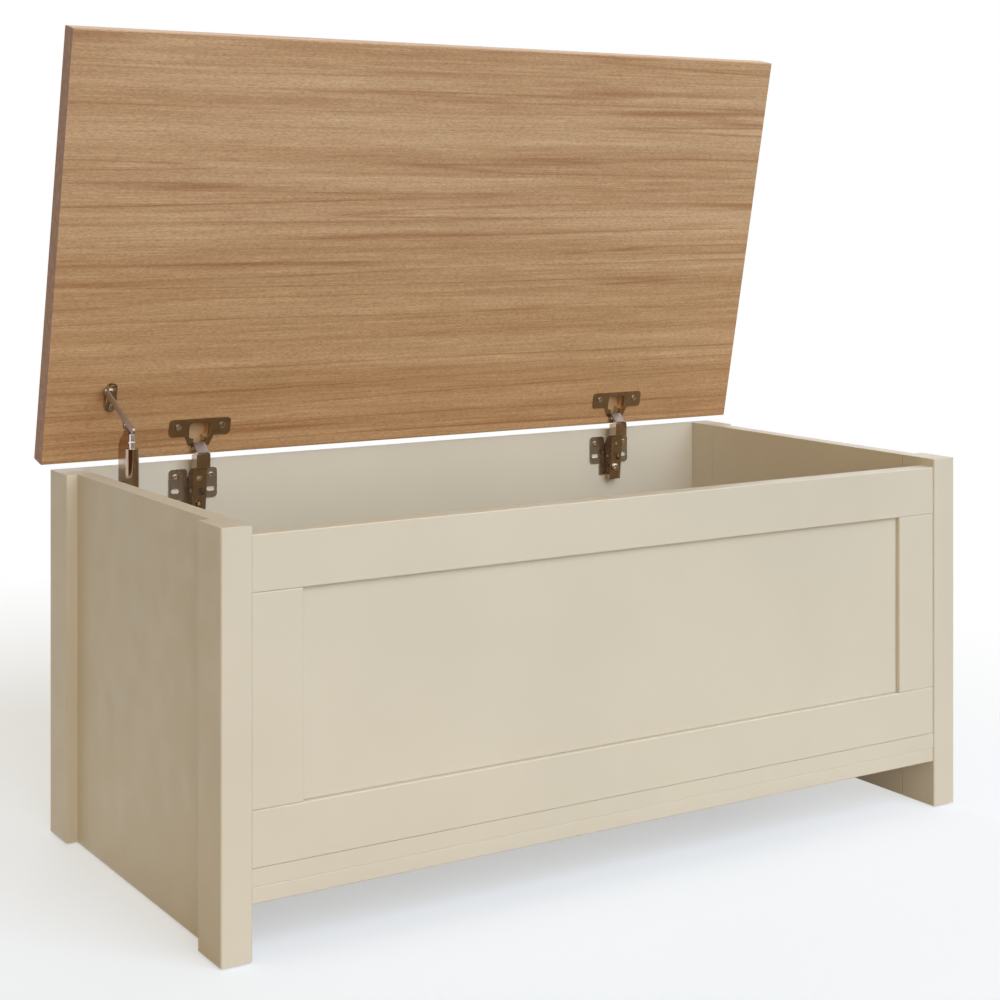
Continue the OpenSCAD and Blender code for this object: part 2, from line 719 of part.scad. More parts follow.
function on_v(v, off) = [lid_rear_y - v, lid_z - off];

module lid_screw_set(grow)
    for (v = lid_screw_v)
        translate([lid_screw_x, lid_rear_y - v, lid_z - plate_t])
            cylinder(r = screw_r + grow, h = plate_t + lid_screw_len + grow);

module stay_lid_bracket() color(dark_steel) on_lid() {
    pivot = closed_point(lid_pivot, lid_open);
    difference() {
        translate([0, 0, lid_z - plate_t])
            linear_extrude(plate_t)
                rounded2d(bracket_x, [lid_rear_y - bracket_v[1], lid_rear_y - bracket_v[0]], bracket_round);
        lid_screw_set(screw_fit);
    }
    along_x(arm_plate_x[0], arm_plate_x[1]) difference() {
        union() {
            translate(pivot) circle(ear_r);
            polygon([pivot + [-ear_r, 0], pivot + [ear_r, 0],
                     on_v(bracket_v[0] + 5, 1), on_v(bracket_v[1] - 4, 1)]);
        }
        translate(pivot) circle(stay_pin_r + ear_slack);
    }
}

module stay_lid_screws() color(steel) on_lid() {
    lid_screw_set(0);
    for (v = lid_screw_v)
        translate([lid_screw_x, lid_rear_y - v, lid_z - plate_t]) mirror([0, 0, 1])
            cylinder(r1 = screw_head_r, r2 = screw_head_top_r, h = screw_head_h);
}

post(-1, -1);  // post_front_left
post(1, -1);  // post_front_right
post(-1, 1);  // post_rear_left
post(1, 1);  // post_rear_right
side_panel(-1);  // side_panel_left
side_panel(1);  // side_panel_right
back_panel();
base_panel();
base_batten(-1);  // batten_left
base_batten(1);  // batten_right
front_top_rail();
front_bottom_rail();
apron_strip();
stile(-1);  // stile_left
stile(1);  // stile_right
front_panel();
floor_glides();
frame_dowels();
lid_board();
hinge_cup(-1);  // hinge_cup_left
hinge_cup(1);  // hinge_cup_right
cup_screws(-1);  // cup_screws_left
cup_screws(1);  // cup_screws_right
outer_link(-1);  // outer_link_left
outer_link(1);  // outer_link_right
inner_link(-1);  // inner_link_left
inner_link(1);  // inner_link_right
hinge_arm(-1);  // hinge_arm_left
hinge_arm(1);  // hinge_arm_right
arm_pins(-1);  // arm_pins_left
arm_pins(1);  // arm_pins_right
mounting_plate(-1);  // mounting_plate_left
mounting_plate(1);  // mounting_plate_right
arm_screws(-1);  // arm_screws_left
arm_screws(1);  // arm_screws_right
plate_screws(-1);  // plate_screws_left
plate_screws(1);  // plate_screws_right
stay_wall_bracket();
stay_wall_screws();
stay_arm();
stay_damper_tube();
stay_plunger();
stay_strap();
stay_lid_bracket();
stay_lid_screws();
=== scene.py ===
"""Looks of the storage ottoman: a painted blanket box with its wooden lid standing open.

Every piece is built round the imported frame, in metres, with +Z up and the front towards -Y.
"""

import logging
import math
from dataclasses import dataclass, field
from enum import Enum

import bmesh
import bpy
from mathutils import Matrix, Vector


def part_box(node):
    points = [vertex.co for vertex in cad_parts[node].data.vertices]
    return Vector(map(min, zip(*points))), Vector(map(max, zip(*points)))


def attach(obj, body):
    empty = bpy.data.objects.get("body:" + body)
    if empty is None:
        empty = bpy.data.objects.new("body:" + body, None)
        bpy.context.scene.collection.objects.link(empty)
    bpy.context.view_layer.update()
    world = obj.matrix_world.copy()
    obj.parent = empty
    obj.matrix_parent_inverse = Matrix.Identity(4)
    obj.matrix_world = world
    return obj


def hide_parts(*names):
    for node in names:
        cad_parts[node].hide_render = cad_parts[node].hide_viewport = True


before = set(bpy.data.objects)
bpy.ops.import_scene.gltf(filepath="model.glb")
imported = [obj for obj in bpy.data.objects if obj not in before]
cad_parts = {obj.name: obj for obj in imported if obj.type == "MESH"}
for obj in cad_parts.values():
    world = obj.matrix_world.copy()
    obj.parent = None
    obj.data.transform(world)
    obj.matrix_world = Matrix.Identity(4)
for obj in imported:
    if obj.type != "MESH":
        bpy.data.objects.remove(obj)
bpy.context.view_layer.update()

log = logging.getLogger("ottoman")

Triple = tuple[float, float, float]
Colour = Triple
Band = tuple[float, float]
Stops = list[tuple[float, Colour]]
Socket = bpy.types.NodeSocket

MM = 0.001
# Corners nearer than this, in metres, are one corner.
WELD = 0.000002
# Faces that bend less than this, in degrees, are one face.
FLAT = 0.4
# Edges that bend more than this, in degrees, are rounded, and shaded as edges.
SHARP = 32.0
# The same for the shading of a screw, whose round sides have fewer faces.
SCREW_SHARP = 40.0
# Corners within this of the highest, in metres, are a screw's flat top.
TOP_BAND = 0.00005
FRONT = Vector((0, -1, 0))
RIGHT = Vector((1, 0, 0))
LID_OPENS = math.radians(78)
# The way that the lid's underside faces while the lid stands open.
LID_UNDERSIDE = Vector((0.0, -math.sin(LID_OPENS), -math.cos(LID_OPENS)))
BLACK: Colour = (0.0, 0.0, 0.0)
WHITE: Colour = (1.0, 1.0, 1.0)
# The part of its range that noise mostly keeps to.
NOISE_SPAN: Band = (0.3, 0.7)
# Refractive index of paint, lacquer and plastic.
COAT_IOR = 1.5


class Side(Enum):
    """Which hinge, post or panel a piece belongs to."""

    LEFT = -1
    RIGHT = 1

    @property
    def tag(self) -> str:
        """The side's word in a node's name."""
        return self.name.lower()


class Recess(Enum):
    """Drive cut into a screw's head."""

    CROSS = "cross"
    SLOT = "slot"


def linear(red: int, green: int, blue: int) -> Colour:
    """Turns a display colour into the linear colour that shaders take.

    Args:
        red: Red from 0 to 255.
        green: Green from 0 to 255.
        blue: Blue from 0 to 255.

    Returns:
        The linear colour.
    """
    def channel(value: int) -> float:
        """One channel of the colour."""
        v = value / 255
        return v / 12.92 if v <= 0.04045 else ((v + 0.055) / 1.055) ** 2.4

    return channel(red), channel(green), channel(blue)


def shaded(tone: Colour, share: float) -> Colour:
    """Makes a tone darker or lighter by a share."""
    return tone[0] * share, tone[1] * share, tone[2] * share


class NodeKit:
    """Short calls for the nodes that the finishes and the studio share, in one node tree."""

    def __init__(self, tree: bpy.types.NodeTree) -> None:
        """Starts on a tree.

        Args:
            tree: The node tree of a material or of the world.
        """
        self.tree = tree
        self.coords = self.node("ShaderNodeTexCoord")

    def node(self, kind: str) -> bpy.types.Node:
        """Adds a node."""
        return self.tree.nodes.new(kind)

    def wire(self, source: Socket, target: Socket) -> None:
        """Joins an output to an input."""
        self.tree.links.new(source, target)

    def feed(self, value: Socket | Colour | float, target: Socket) -> None:
        """Gives an input its value.

        Args:
            value: A socket, which is joined, or a colour or a number, which is set.
            target: The input.
        """
        if isinstance(value, bpy.types.NodeSocket):
            self.wire(value, target)
        elif isinstance(value, tuple):
            target.default_value = (*value, 1.0)
        else:
            target.default_value = value

    def axis(self, vector: Socket, name: str) -> Socket:
        """Takes one axis of a vector.

        Args:
            vector: The vector socket.
            name: X, Y or Z.

        Returns:
            The value socket.
        """
        node = self.node("ShaderNodeSeparateXYZ")
        self.wire(vector, node.inputs["Vector"])
        return node.outputs[name]

    def unsigned(self, vector: Socket) -> Socket:
        """Takes the sign off each axis of a vector.

        Args:
            vector: The vector socket.

        Returns:
            The vector socket without signs.
        """
        node = self.node("ShaderNodeVectorMath")
        node.operation = "ABSOLUTE"
        self.wire(vector, node.inputs[0])
        return node.outputs["Vector"]

    def against(self, operation: str, vector: Socket, fixed: Triple | Vector) -> Socket:
        """Measures a vector against a fixed one.

        Args:
            operation: DOT_PRODUCT or DISTANCE.
            vector: The vector socket.
            fixed: The fixed vector.

        Returns:
            The value socket.
        """
        node = self.node("ShaderNodeVectorMath")
        node.operation = operation
        node.inputs[1].default_value = fixed
        self.wire(vector, node.inputs[0])
        return node.outputs["Value"]

    def ramp(self, factor: Socket, stops: Stops) -> Socket:
        """Colours a factor.

        Args:
            factor: The factor socket.
            stops: Places from 0 to 1, each with its linear colour.

        Returns:
            The colour socket.
        """
        node = self.node("ShaderNodeValToRGB")
        points = node.color_ramp.elements
        while len(points) < len(stops):
            points.new(0.5)
        for point, (place, colour) in zip(points, stops):
            point.position = place
            point.color = (*colour, 1.0)
        self.wire(factor, node.inputs["Fac"])
        return node.outputs["Color"]

    def toned(self, factor: Socket, low: Colour, high: Colour, band: Band = NOISE_SPAN) -> Socket:
        """Colours a factor from one tone to another.

        Args:
            factor: The factor socket.
            low: The tone up to the band's start.
            high: The tone from the band's end.
            band: Where the change starts and ends.

        Returns:
            The colour socket.
        """
        return self.ramp(factor, [(band[0], low), (band[1], high)])

    def mix(self, factor: Socket | float, first: Socket | Colour, second: Socket | Colour,
            blend: str = "MIX") -> Socket:
        """Mixes two colours.

        Args:
            factor: How much of the second.
            first: The colour below.
            second: The colour on top.
            blend: The way that they mix.

        Returns:
            The colour socket.
        """
        node = self.node("ShaderNodeMix")
        node.data_type = "RGBA"
        node.blend_type = blend
        # The colour sockets of this node share their names with others, so they go by number.
        self.feed(factor, node.inputs[0])
        self.feed(first, node.inputs[6])
        self.feed(second, node.inputs[7])
        return node.outputs[2]

    def between(self, factor: Socket, low: float, high: float, start: float = 0.0,
                end: float = 1.0) -> Socket:
        """Maps a factor from start to end onto low to high, and holds it there.

        Args:
            factor: The factor socket.
            low: The result at start.
            high: The result at end.
            start: Factor at which the change starts.
            end: Factor at which it ends.

        Returns:
            The value socket.
        """
        node = self.node("ShaderNodeMapRange")
        node.inputs["From Min"].default_value = start
        node.inputs["From Max"].default_value = end
        node.inputs["To Min"].default_value = low
        node.inputs["To Max"].default_value = high
        self.wire(factor, node.inputs["Value"])
        return node.outputs["Result"]

    def times(self, first: Socket, second: Socket) -> Socket:
        """Multiplies two factors."""
        return self._math("MULTIPLY", first, second)

    def larger(self, first: Socket, second: Socket) -> Socket:
        """The larger of two factors."""
        return self._math("MAXIMUM", first, second)

    def _math(self, operation: str, first: Socket, second: Socket) -> Socket:
        """Works out one factor from two.

        Args:
            operation: The Math node's operation.
            first: One factor.
            second: The other.

        Returns:
            The value socket.
        """
        node = self.node("ShaderNodeMath")
        node.operation = operation
        self.wire(first, node.inputs[0])
        self.wire(second, node.inputs[1])
        return node.outputs["Value"]


class Swatch(NodeKit):
    """One material's node tree, with calls for its patterns and its shader."""

    def __init__(self, name: str, roughness: float, metallic: float = 0.0) -> None:
        """Starts a material.

        Args:
            name: The material's name.
            roughness: Its roughness where nothing varies it.
            metallic: 1 for metal.
        """
        self.material = bpy.data.materials.new(name)
        self.material.use_nodes = True
        super().__init__(self.material.node_tree)
        self.shader = self.tree.nodes["Principled BSDF"]
        self.shader.inputs["Roughness"].default_value = roughness
        self.shader.inputs["Metallic"].default_value = metallic
        self.shader.inputs["IOR"].default_value = COAT_IOR

    @property
    def place(self) -> Socket:
        """Object coordinates."""
        return self.coords.outputs["Object"]

    def stretched(self, scale: Triple = (1, 1, 1), turn: Triple = (0, 0, 0)) -> Socket:
        """Object coordinates, turned and then scaled.

        Args:
            scale: Repeats per metre along each axis.
            turn: Turn about each axis, in radians.

        Returns:
            The vector socket.
        """
        turned = self.node("ShaderNodeMapping")
        turned.inputs["Rotation"].default_value = turn
        scaled = self.node("ShaderNodeMapping")
        scaled.inputs["Scale"].default_value = scale
        self.wire(self.place, turned.inputs["Vector"])
        self.wire(turned.outputs["Vector"], scaled.inputs["Vector"])
        return scaled.outputs["Vector"]

    def noise(self, vector: Socket, scale: float = 1.0, detail: float = 2.0,
              roughness: float = 0.5, distortion: float = 0.0) -> Socket:
        """Noise on a vector.

        Args:
            vector: Where the noise is read.
            scale: Its frequency.
            detail: Its number of octaves.
            roughness: How strong each finer octave is.
            distortion: How far it is warped.

        Returns:
            The factor socket, from 0 to 1.
        """
        node = self.node("ShaderNodeTexNoise")
        node.inputs["Scale"].default_value = scale
        node.inputs["Detail"].default_value = detail
        node.inputs["Roughness"].default_value = roughness
        node.inputs["Distortion"].default_value = distortion
        self.wire(vector, node.inputs["Vector"])
        return node.outputs["Fac"]

    def bump(self, height: Socket, depth: float, under: Socket | None = None) -> Socket:
        """Raises the surface by a height.

        Args:
            height: The height socket, from 0 to 1.
            depth: What a height of 1 stands for, in metres.
            under: A coarser bump below this one.

        Returns:
            The normal socket.
        """
        node = self.node("ShaderNodeBump")
        node.inputs["Strength"].default_value = 1.0
        node.inputs["Distance"].default_value = depth
        self.wire(height, node.inputs["Height"])
        if under is not None:
            self.wire(under, node.inputs["Normal"])
        return node.outputs["Normal"]

    def finish(self, colour: Socket, roughness: Socket, normal: Socket) -> bpy.types.Material:
        """Joins the shader's sockets.

        Args:
            colour: The base colour.
            roughness: The roughness.
            normal: The bumped normal.

        Returns:
            The finished material.
        """
        self.wire(colour, self.shader.inputs["Base Color"])
        self.wire(roughness, self.shader.inputs["Roughness"])
        self.wire(normal, self.shader.inputs["Normal"])
        return self.material


@dataclass(frozen=True)
class SatinPaint:
    """Sprayed satin paint on smooth board: a faint orange peel and a slight drift in tone.

    Scales are repeats per metre, depths are metres.
    """

    name: str = "cream_satin_paint"
    tone: Colour = linear(209, 201, 184)
    drift: float = 0.03
    cloud_scale: float = 5.0
    smear_scale: float = 38.0
    ripple_scale: float = 60.0
    ripple_depth: float = 0.00006
    peel_scale: float = 900.0
    peel_depth: float = 0.000012
    roughness: Band = (0.36, 0.5)

    def make(self) -> bpy.types.Material:
        """Builds the paint.

        Returns:
            The material.
        """
        swatch = Swatch(self.name, roughness=0.42)
        even = swatch.stretched()
        cloud = swatch.noise(even, self.cloud_scale, detail=3.0)
        colour = swatch.toned(cloud, shaded(self.tone, 1 - self.drift),
                              shaded(self.tone, 1 + self.drift))
        smear = swatch.noise(even, self.smear_scale, detail=3.0)
        roughness = swatch.between(smear, *self.roughness, *NOISE_SPAN)
        waves = swatch.bump(swatch.noise(even, self.ripple_scale), self.ripple_depth)
        peel = swatch.noise(even, self.peel_scale, detail=1.0)
        return swatch.finish(colour, roughness, swatch.bump(peel, self.peel_depth, waves))


@dataclass(frozen=True)
class Grain:
    """Noise drawn out along the lid board, whose grain runs along X and leans a little.

    Along and across are repeats per metre, and the lean is in degrees.
    """

    along: float
    across: float
    detail: float
    roughness: float
    distortion: float
    lean: float = 0.9

    def read(self, swatch: Swatch) -> Socket:
        """Lays the noise on a material.

        Args:
            swatch: The material.

        Returns:
            The factor socket.
        """
        turn = (0.0, 0.0, math.radians(self.lean))
        vector = swatch.stretched((self.along, self.across, self.across), turn)
        return swatch.noise(vector, 1.0, self.detail, self.roughness, self.distortion)


@dataclass(frozen=True)
class LidWood:
    """Clear-coated board: broad soft bands, long fine lines and short flecks.

    The broad stops and the line's level are places in the bands' and the growth's noise. Painted
    light makes the board paler and bluer towards its right end, with a painted sheen there, and
    painted shade makes it darker and warmer towards the foot of the open lid. The pocket's bands
    are distances in metres, from the flange's face and from its middle, and the uncoated wood in
    the pockets is painted paler to lift their shade.
    """

    name: str = "lid_wood"
    pale: Colour = linear(212, 183, 147)
    middle: Colour = linear(185, 150, 112)
    deep: Colour = linear(158, 118, 80)
    line: Colour = linear(148, 102, 66)
    end: Colour = linear(150, 96, 42)
    # The pockets' uncoated wood, paler than the coated face, and painted paler still as painted
    # light to lift the shade inside them.
    pocket_wood_and_painted_light: Colour = linear(200, 168, 126)
    bands: Grain = Grain(0.8, 24, 3.0, 0.5, 0.3)
    streaks: Grain = Grain(2.2, 130, 4.0, 0.6, 0.2)
    hairs: Grain = Grain(9, 620, 3.0, 0.65, 0.1)
    growth: Grain = Grain(0.55, 46, 2.0, 0.5, 0.25)
    flecks: Grain = Grain(230, 1100, 2.0, 0.6, 0.0, lean=0.0)
    broad_stops: tuple[float, float, float, float] = (0.3, 0.45, 0.58, 0.72)
    line_level: Triple = (0.455, 0.497, 0.53)
    line_strength: Band = (0.75, 0.2)
    line_span: Band = (0.35, 0.65)
    fleck_tones: tuple[Colour, Colour] = ((0.75, 0.71, 0.67), (1.16, 1.16, 1.16))
    streak_share: float = 0.5
    hair_share: float = 0.38
    fleck_share: float = 0.9
    hair_depth: float = 0.00003
    roughness: Band = (0.56, 0.44)
    # Painted light: the board is painted paler and bluer towards its right end, where the light
    # comes from, as a painted sheen.
    painted_side_light: tuple[Colour, Colour] = ((0.97, 0.95, 0.95), (1.09, 1.11, 1.16))
    painted_side_span: Band = (-0.42, 0.42)
    # Painted shade: the open lid is painted darker and warmer towards its foot, near the box.
    painted_foot_shade: tuple[Colour, Colour] = ((0.95, 0.88, 0.76), (1.0, 0.99, 0.98))
    painted_foot_span: Band = (0.4, 0.64)
    end_facing: Band = (0.6, 0.95)
    end_share: float = 0.85
    end_dark: float = 0.7
    milled_light: float = 1.08
    pocket_rim: Band = (0.0012, 0.0016)
    pocket_floor: Band = (0.017, 0.0175)
    pocket_radius: Band = (0.024, 0.026)

    def make(self) -> bpy.types.Material:
        """Builds the wood.

        Returns:
            The material.
        """
        swatch = Swatch(self.name, roughness=0.5)
        streaks = self.streaks.read(swatch)
        hairs = self.hairs.read(swatch)
        colour = self._figure(swatch, streaks, hairs)
        colour = self._growth_lines(swatch, colour, streaks)
        colour = self._flecked(swatch, colour)
        # Painted light: paler and bluer towards the right end, with a painted sheen there.
        colour = self._paint_light_along(swatch, colour, "X", self.painted_side_span, self.painted_side_light)
        # Painted shade: darker and warmer towards the foot of the open lid.
        colour = self._paint_light_along(swatch, colour, "Z", self.painted_foot_span, self.painted_foot_shade)
        facing = swatch.axis(swatch.unsigned(swatch.coords.outputs["Normal"]), "X")
        cut = swatch.between(facing, 0.0, self.end_share, *self.end_facing)
        end = swatch.toned(streaks, shaded(self.end, self.end_dark), self.end)
        colour = swatch.mix(cut, colour, end)
        # Partly painted light: the pockets' uncoated wood is paler than the coated face, and is
        # painted paler still to lift the shade inside them.
        pocket_tone_and_painted_light = swatch.toned(streaks, self.pocket_wood_and_painted_light, shaded(self.pocket_wood_and_painted_light, self.milled_light))
        colour = swatch.mix(self._in_pocket(swatch), colour, pocket_tone_and_painted_light)
        roughness = swatch.between(streaks, *self.roughness, *NOISE_SPAN)
        return swatch.finish(colour, roughness, swatch.bump(hairs, self.hair_depth))

    def _tones(self, middle: float) -> Stops:
        """Deep, middle and pale wood, with the middle tone at a given place."""
        return [(NOISE_SPAN[0], self.deep), (middle, self.middle), (NOISE_SPAN[1], self.pale)]

    def _figure(self, swatch: Swatch, streaks: Socket, hairs: Socket) -> Socket:
        """Lays streaks and hairs over broad bands.

        Args:
            swatch: The material.
            streaks: The streaks' factor.
            hairs: The hairs' factor.

        Returns:
            The colour socket.
        """
        tones = (self.deep, self.middle, self.pale, self.middle)
        broad = swatch.ramp(self.bands.read(swatch), list(zip(self.broad_stops, tones)))
        fine = swatch.ramp(streaks, self._tones(0.5))
        finest = swatch.ramp(hairs, self._tones(0.52))
        return swatch.mix(self.hair_share, swatch.mix(self.streak_share, broad, fine), finest)

    def _growth_lines(self, swatch: Swatch, colour: Socket, streaks: Socket) -> Socket:
        """Draws thin dark lines along one level of the growth noise, broken up by the streaks.

        Args:
            swatch: The material.
            colour: The colour below.
            streaks: The streaks' factor.

        Returns:
            The colour socket.
        """
        stops = list(zip(self.line_level, (BLACK, WHITE, BLACK)))
        ring = swatch.ramp(self.growth.read(swatch), stops)
        lines = swatch.times(ring, swatch.between(streaks, *self.line_strength, *self.line_span))
        return swatch.mix(lines, colour, self.line)

    def _flecked(self, swatch: Swatch, colour: Socket) -> Socket:
        """Darkens and lightens the wood in short flecks.

        Args:
            swatch: The material.
            colour: The colour below.

        Returns:
            The colour socket.
        """
        dark, pale = self.fleck_tones
        grit = swatch.ramp(self.flecks.read(swatch), [
            (NOISE_SPAN[0], dark), (0.5, WHITE), (NOISE_SPAN[1], pale)])
        return swatch.mix(self.fleck_share, colour, grit, "MULTIPLY")

    def _paint_light_along(self, swatch: Swatch, colour: Socket, axis: str, span: Band,
              casts: tuple[Colour, Colour]) -> Socket:
        """Paints a gradient of light and shade onto the wood along one axis.

        Args:
            swatch: The material.
            colour: The colour below.
            axis: The axis, X, Y or Z.
            span: Where the change starts and ends, in metres.
            casts: The tints of painted light and shade at its start and its end.

        Returns:
            The colour socket.
        """
        way = swatch.between(swatch.axis(swatch.place, axis), 0.0, 1.0, *span)
        return swatch.mix(1.0, colour, swatch.toned(way, *casts, (0.0, 1.0)), "MULTIPLY")

    def _in_pocket(self, swatch: Swatch) -> Socket:
        """Finds the hinge pockets: near a hinge and under the face, in the uncoated wood.

        Args:
            swatch: The material.

        Returns:
            The factor socket, 1 in a pocket.
        """
        low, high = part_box("hinge_cup_left")
        middle = (Vector(low) + Vector(high)) / 2
        level = middle.dot(LID_UNDERSIDE)
        height = swatch.against("DOT_PRODUCT", swatch.place, LID_UNDERSIDE)
        shallow, deep = self.pocket_rim
        under = swatch.between(height, 1.0, 0.0, level - deep, level - shallow)
        shallow, deep = self.pocket_floor
        above = swatch.between(height, 0.0, 1.0, level - deep, level - shallow)
        # Without signs, the left hinge's middle serves for the right one too.
        gap = swatch.against("DISTANCE", swatch.unsigned(swatch.place), [abs(c) for c in middle])
        near = swatch.between(gap, 1.0, 0.0, *self.pocket_radius)
        return swatch.times(swatch.times(under, above), near)


@dataclass(frozen=True)
class RawWood:
    """Bare wood of the hidden battens and dowels, with its repeats per metre on each axis."""

    name: str = "bare_softwood"
    pale: Colour = linear(205, 176, 132)
    deep: Colour = linear(178, 142, 96)
    repeats: Triple = (260, 4, 260)
    depth: float = 0.00008

    def make(self) -> bpy.types.Material:
        """Builds the wood.

        Returns:
            The material.
        """
        swatch = Swatch(self.name, roughness=0.7)
        streaks = swatch.noise(swatch.stretched(self.repeats), 1.0, 4.0, 0.6, 0.3)
        colour = swatch.toned(streaks, self.deep, self.pale)
        roughness = swatch.between(streaks, 0.75, 0.62)
        return swatch.finish(colour, roughness, swatch.bump(streaks, self.depth))


@dataclass(frozen=True)
class Plating:
    """Nickel-plated steel: nearly a mirror, with faint haze where hands and oil have been.

    The brush is the depth of its fine draw lines, in metres.
    """

    name: str
    bright: Colour = (0.49, 0.38, 0.29)
    dull: Colour = (0.41, 0.31, 0.23)
    smooth: float = 0.09
    rough: float = 0.17
    brush: float = 0.0000012
    haze_scale: float = 90.0
    haze_span: Band = (0.3, 0.66)
    brush_repeats: Triple = (3200, 700, 220)

    def make(self) -> bpy.types.Material:
        """Builds the plating.

        Returns:
            The material.
        """
        swatch = Swatch(self.name, roughness=self.smooth, metallic=1.0)
        haze = swatch.noise(swatch.stretched(), self.haze_scale, detail=3.0, roughness=0.55)
        colour = swatch.toned(haze, self.dull, self.bright, self.haze_span)
        roughness = swatch.between(haze, self.rough, self.smooth, *NOISE_SPAN)
        brushed = swatch.noise(swatch.stretched(self.brush_repeats))
        return swatch.finish(colour, roughness, swatch.bump(brushed, self.brush))


@dataclass(frozen=True)
class GlidePlastic:
    """Black moulded plastic with a fine mould texture."""

    name: str = "glide_plastic"
    black: Colour = (0.012, 0.012, 0.012)
    worn: Colour = (0.022, 0.022, 0.022)
    grit_scale: float = 1800.0
    grit_depth: float = 0.00002

    def make(self) -> bpy.types.Material:
        """Builds the plastic.

        Returns:
            The material.
        """
        swatch = Swatch(self.name, roughness=0.5)
        grit = swatch.noise(swatch.stretched(), self.grit_scale)
        colour = swatch.toned(grit, self.black, self.worn)
        roughness = swatch.between(grit, 0.45, 0.6)
        return swatch.finish(colour, roughness, swatch.bump(grit, self.grit_depth))


class Finishes:
    """Every finish of the object, built once."""

    def __init__(self) -> None:
        """Builds the materials."""
        self.paint = SatinPaint().make()
        self.wood = LidWood().make()
        self.batten = RawWood().make()
        self.dowel = RawWood(
            "dowel_beech", pale=linear(214, 184, 142), deep=linear(190, 154, 110),
            repeats=(60, 60, 400)).make()
        self.mirror = Plating("mirror_nickel").make()
        self.screw = Plating(
            "screw_nickel", bright=(0.74, 0.68, 0.62), dull=(0.62, 0.56, 0.5),
            smooth=0.07, rough=0.13).make()
        self.satin = Plating(
            "satin_nickel", bright=(0.56, 0.52, 0.5), dull=(0.46, 0.42, 0.4),
            smooth=0.24, rough=0.36, brush=0.000003).make()
        self.link = Plating(
            "link_nickel", bright=(0.52, 0.48, 0.47), dull=(0.44, 0.4, 0.39),
            smooth=0.3, rough=0.42, brush=0.000002).make()
        self.turned = Plating(
            "turned_steel", bright=(0.95, 0.95, 0.95), dull=(0.88, 0.88, 0.88),
            smooth=0.28, rough=0.4, brush=0.000002).make()
        self.plastic = GlidePlastic().make()


def hand_over(mesh: bmesh.types.BMesh, name: str, body: str, material: bpy.types.Material,
              stands_for: str, sharp: float = SHARP) -> bpy.types.Object:
    """Turns a finished bmesh into a piece that stands for a CAD node.

    Args:
        mesh: The piece's mesh, already in its place. It is freed here.
        name: The piece's name.
        body: The body that it rides on.
        material: Its finish.
        stands_for: The CAD node that it replaces, which is hidden.
        sharp: Angle over which an edge stays sharp, in degrees.

    Returns:
        The piece.
    """
    data = bpy.data.meshes.new(name)
    mesh.to_mesh(data)
    mesh.free()
    data.polygons.foreach_set("use_smooth", [True] * len(data.polygons))
    data.set_sharp_from_angle(angle=math.radians(sharp))
    data.materials.append(material)
    piece = bpy.data.objects.new(name, data)
    bpy.context.scene.collection.objects.link(piece)
    weighted = piece.modifiers.new("even_shading", "WEIGHTED_NORMAL")
    weighted.keep_sharp = True
    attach(piece, body)
    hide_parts(stands_for)
    log.info("%s stands for %s on %s, %d faces", name, stands_for, body, len(data.polygons))
    return piece


def welded(node: str) -> bmesh.types.BMesh:
    """Copies a CAD node's loose triangles into a mesh whose faces are joined.

    Args:
        node: The CAD node.

    Returns:
        The mesh, to be freed by the caller.
    """
    mesh = bmesh.new()
    mesh.from_mesh(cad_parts[node].data)
    bmesh.ops.remove_doubles(mesh, verts=mesh.verts, dist=WELD)
    return mesh


def softened(node: str, name: str, body: str, material: bpy.types.Material, radius: float,
             steps: int = 2) -> bpy.types.Object:
    """Copies a CAD node and rounds its edges, as a made part's edges are.

    Args:
        node: The CAD node.
        name: The piece's name.
        body: The body that it rides on.
        material: Its finish.
        radius: How far the rounding reaches from each edge, in metres.
        steps: Faces across each rounded edge.

    Returns:
        The piece.
    """
    mesh = welded(node)
    bmesh.ops.dissolve_limit(mesh, angle_limit=math.radians(FLAT), verts=mesh.verts,
                             edges=mesh.edges)
    bend = math.radians(SHARP)
    edges = [e for e in mesh.edges if e.is_manifold and e.calc_face_angle(0.0) > bend]
    bmesh.ops.bevel(mesh, geom=edges, offset=radius, offset_type="OFFSET", segments=steps,
                    profile=0.5, affect="EDGES", clamp_overlap=True, loop_slide=True, material=-1)
    bmesh.ops.triangulate(mesh, faces=[f for f in mesh.faces if len(f.verts) > 4])
    return hand_over(mesh, name, body, material, node)


def dress(node: str, material: bpy.types.Material) -> None:
    """Gives a carried-over CAD node its finish.

    Args:
        node: The CAD node.
        material: Its finish.
    """
    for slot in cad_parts[node].material_slots:
        slot.material = material
    log.info("%s keeps its CAD solid", node)


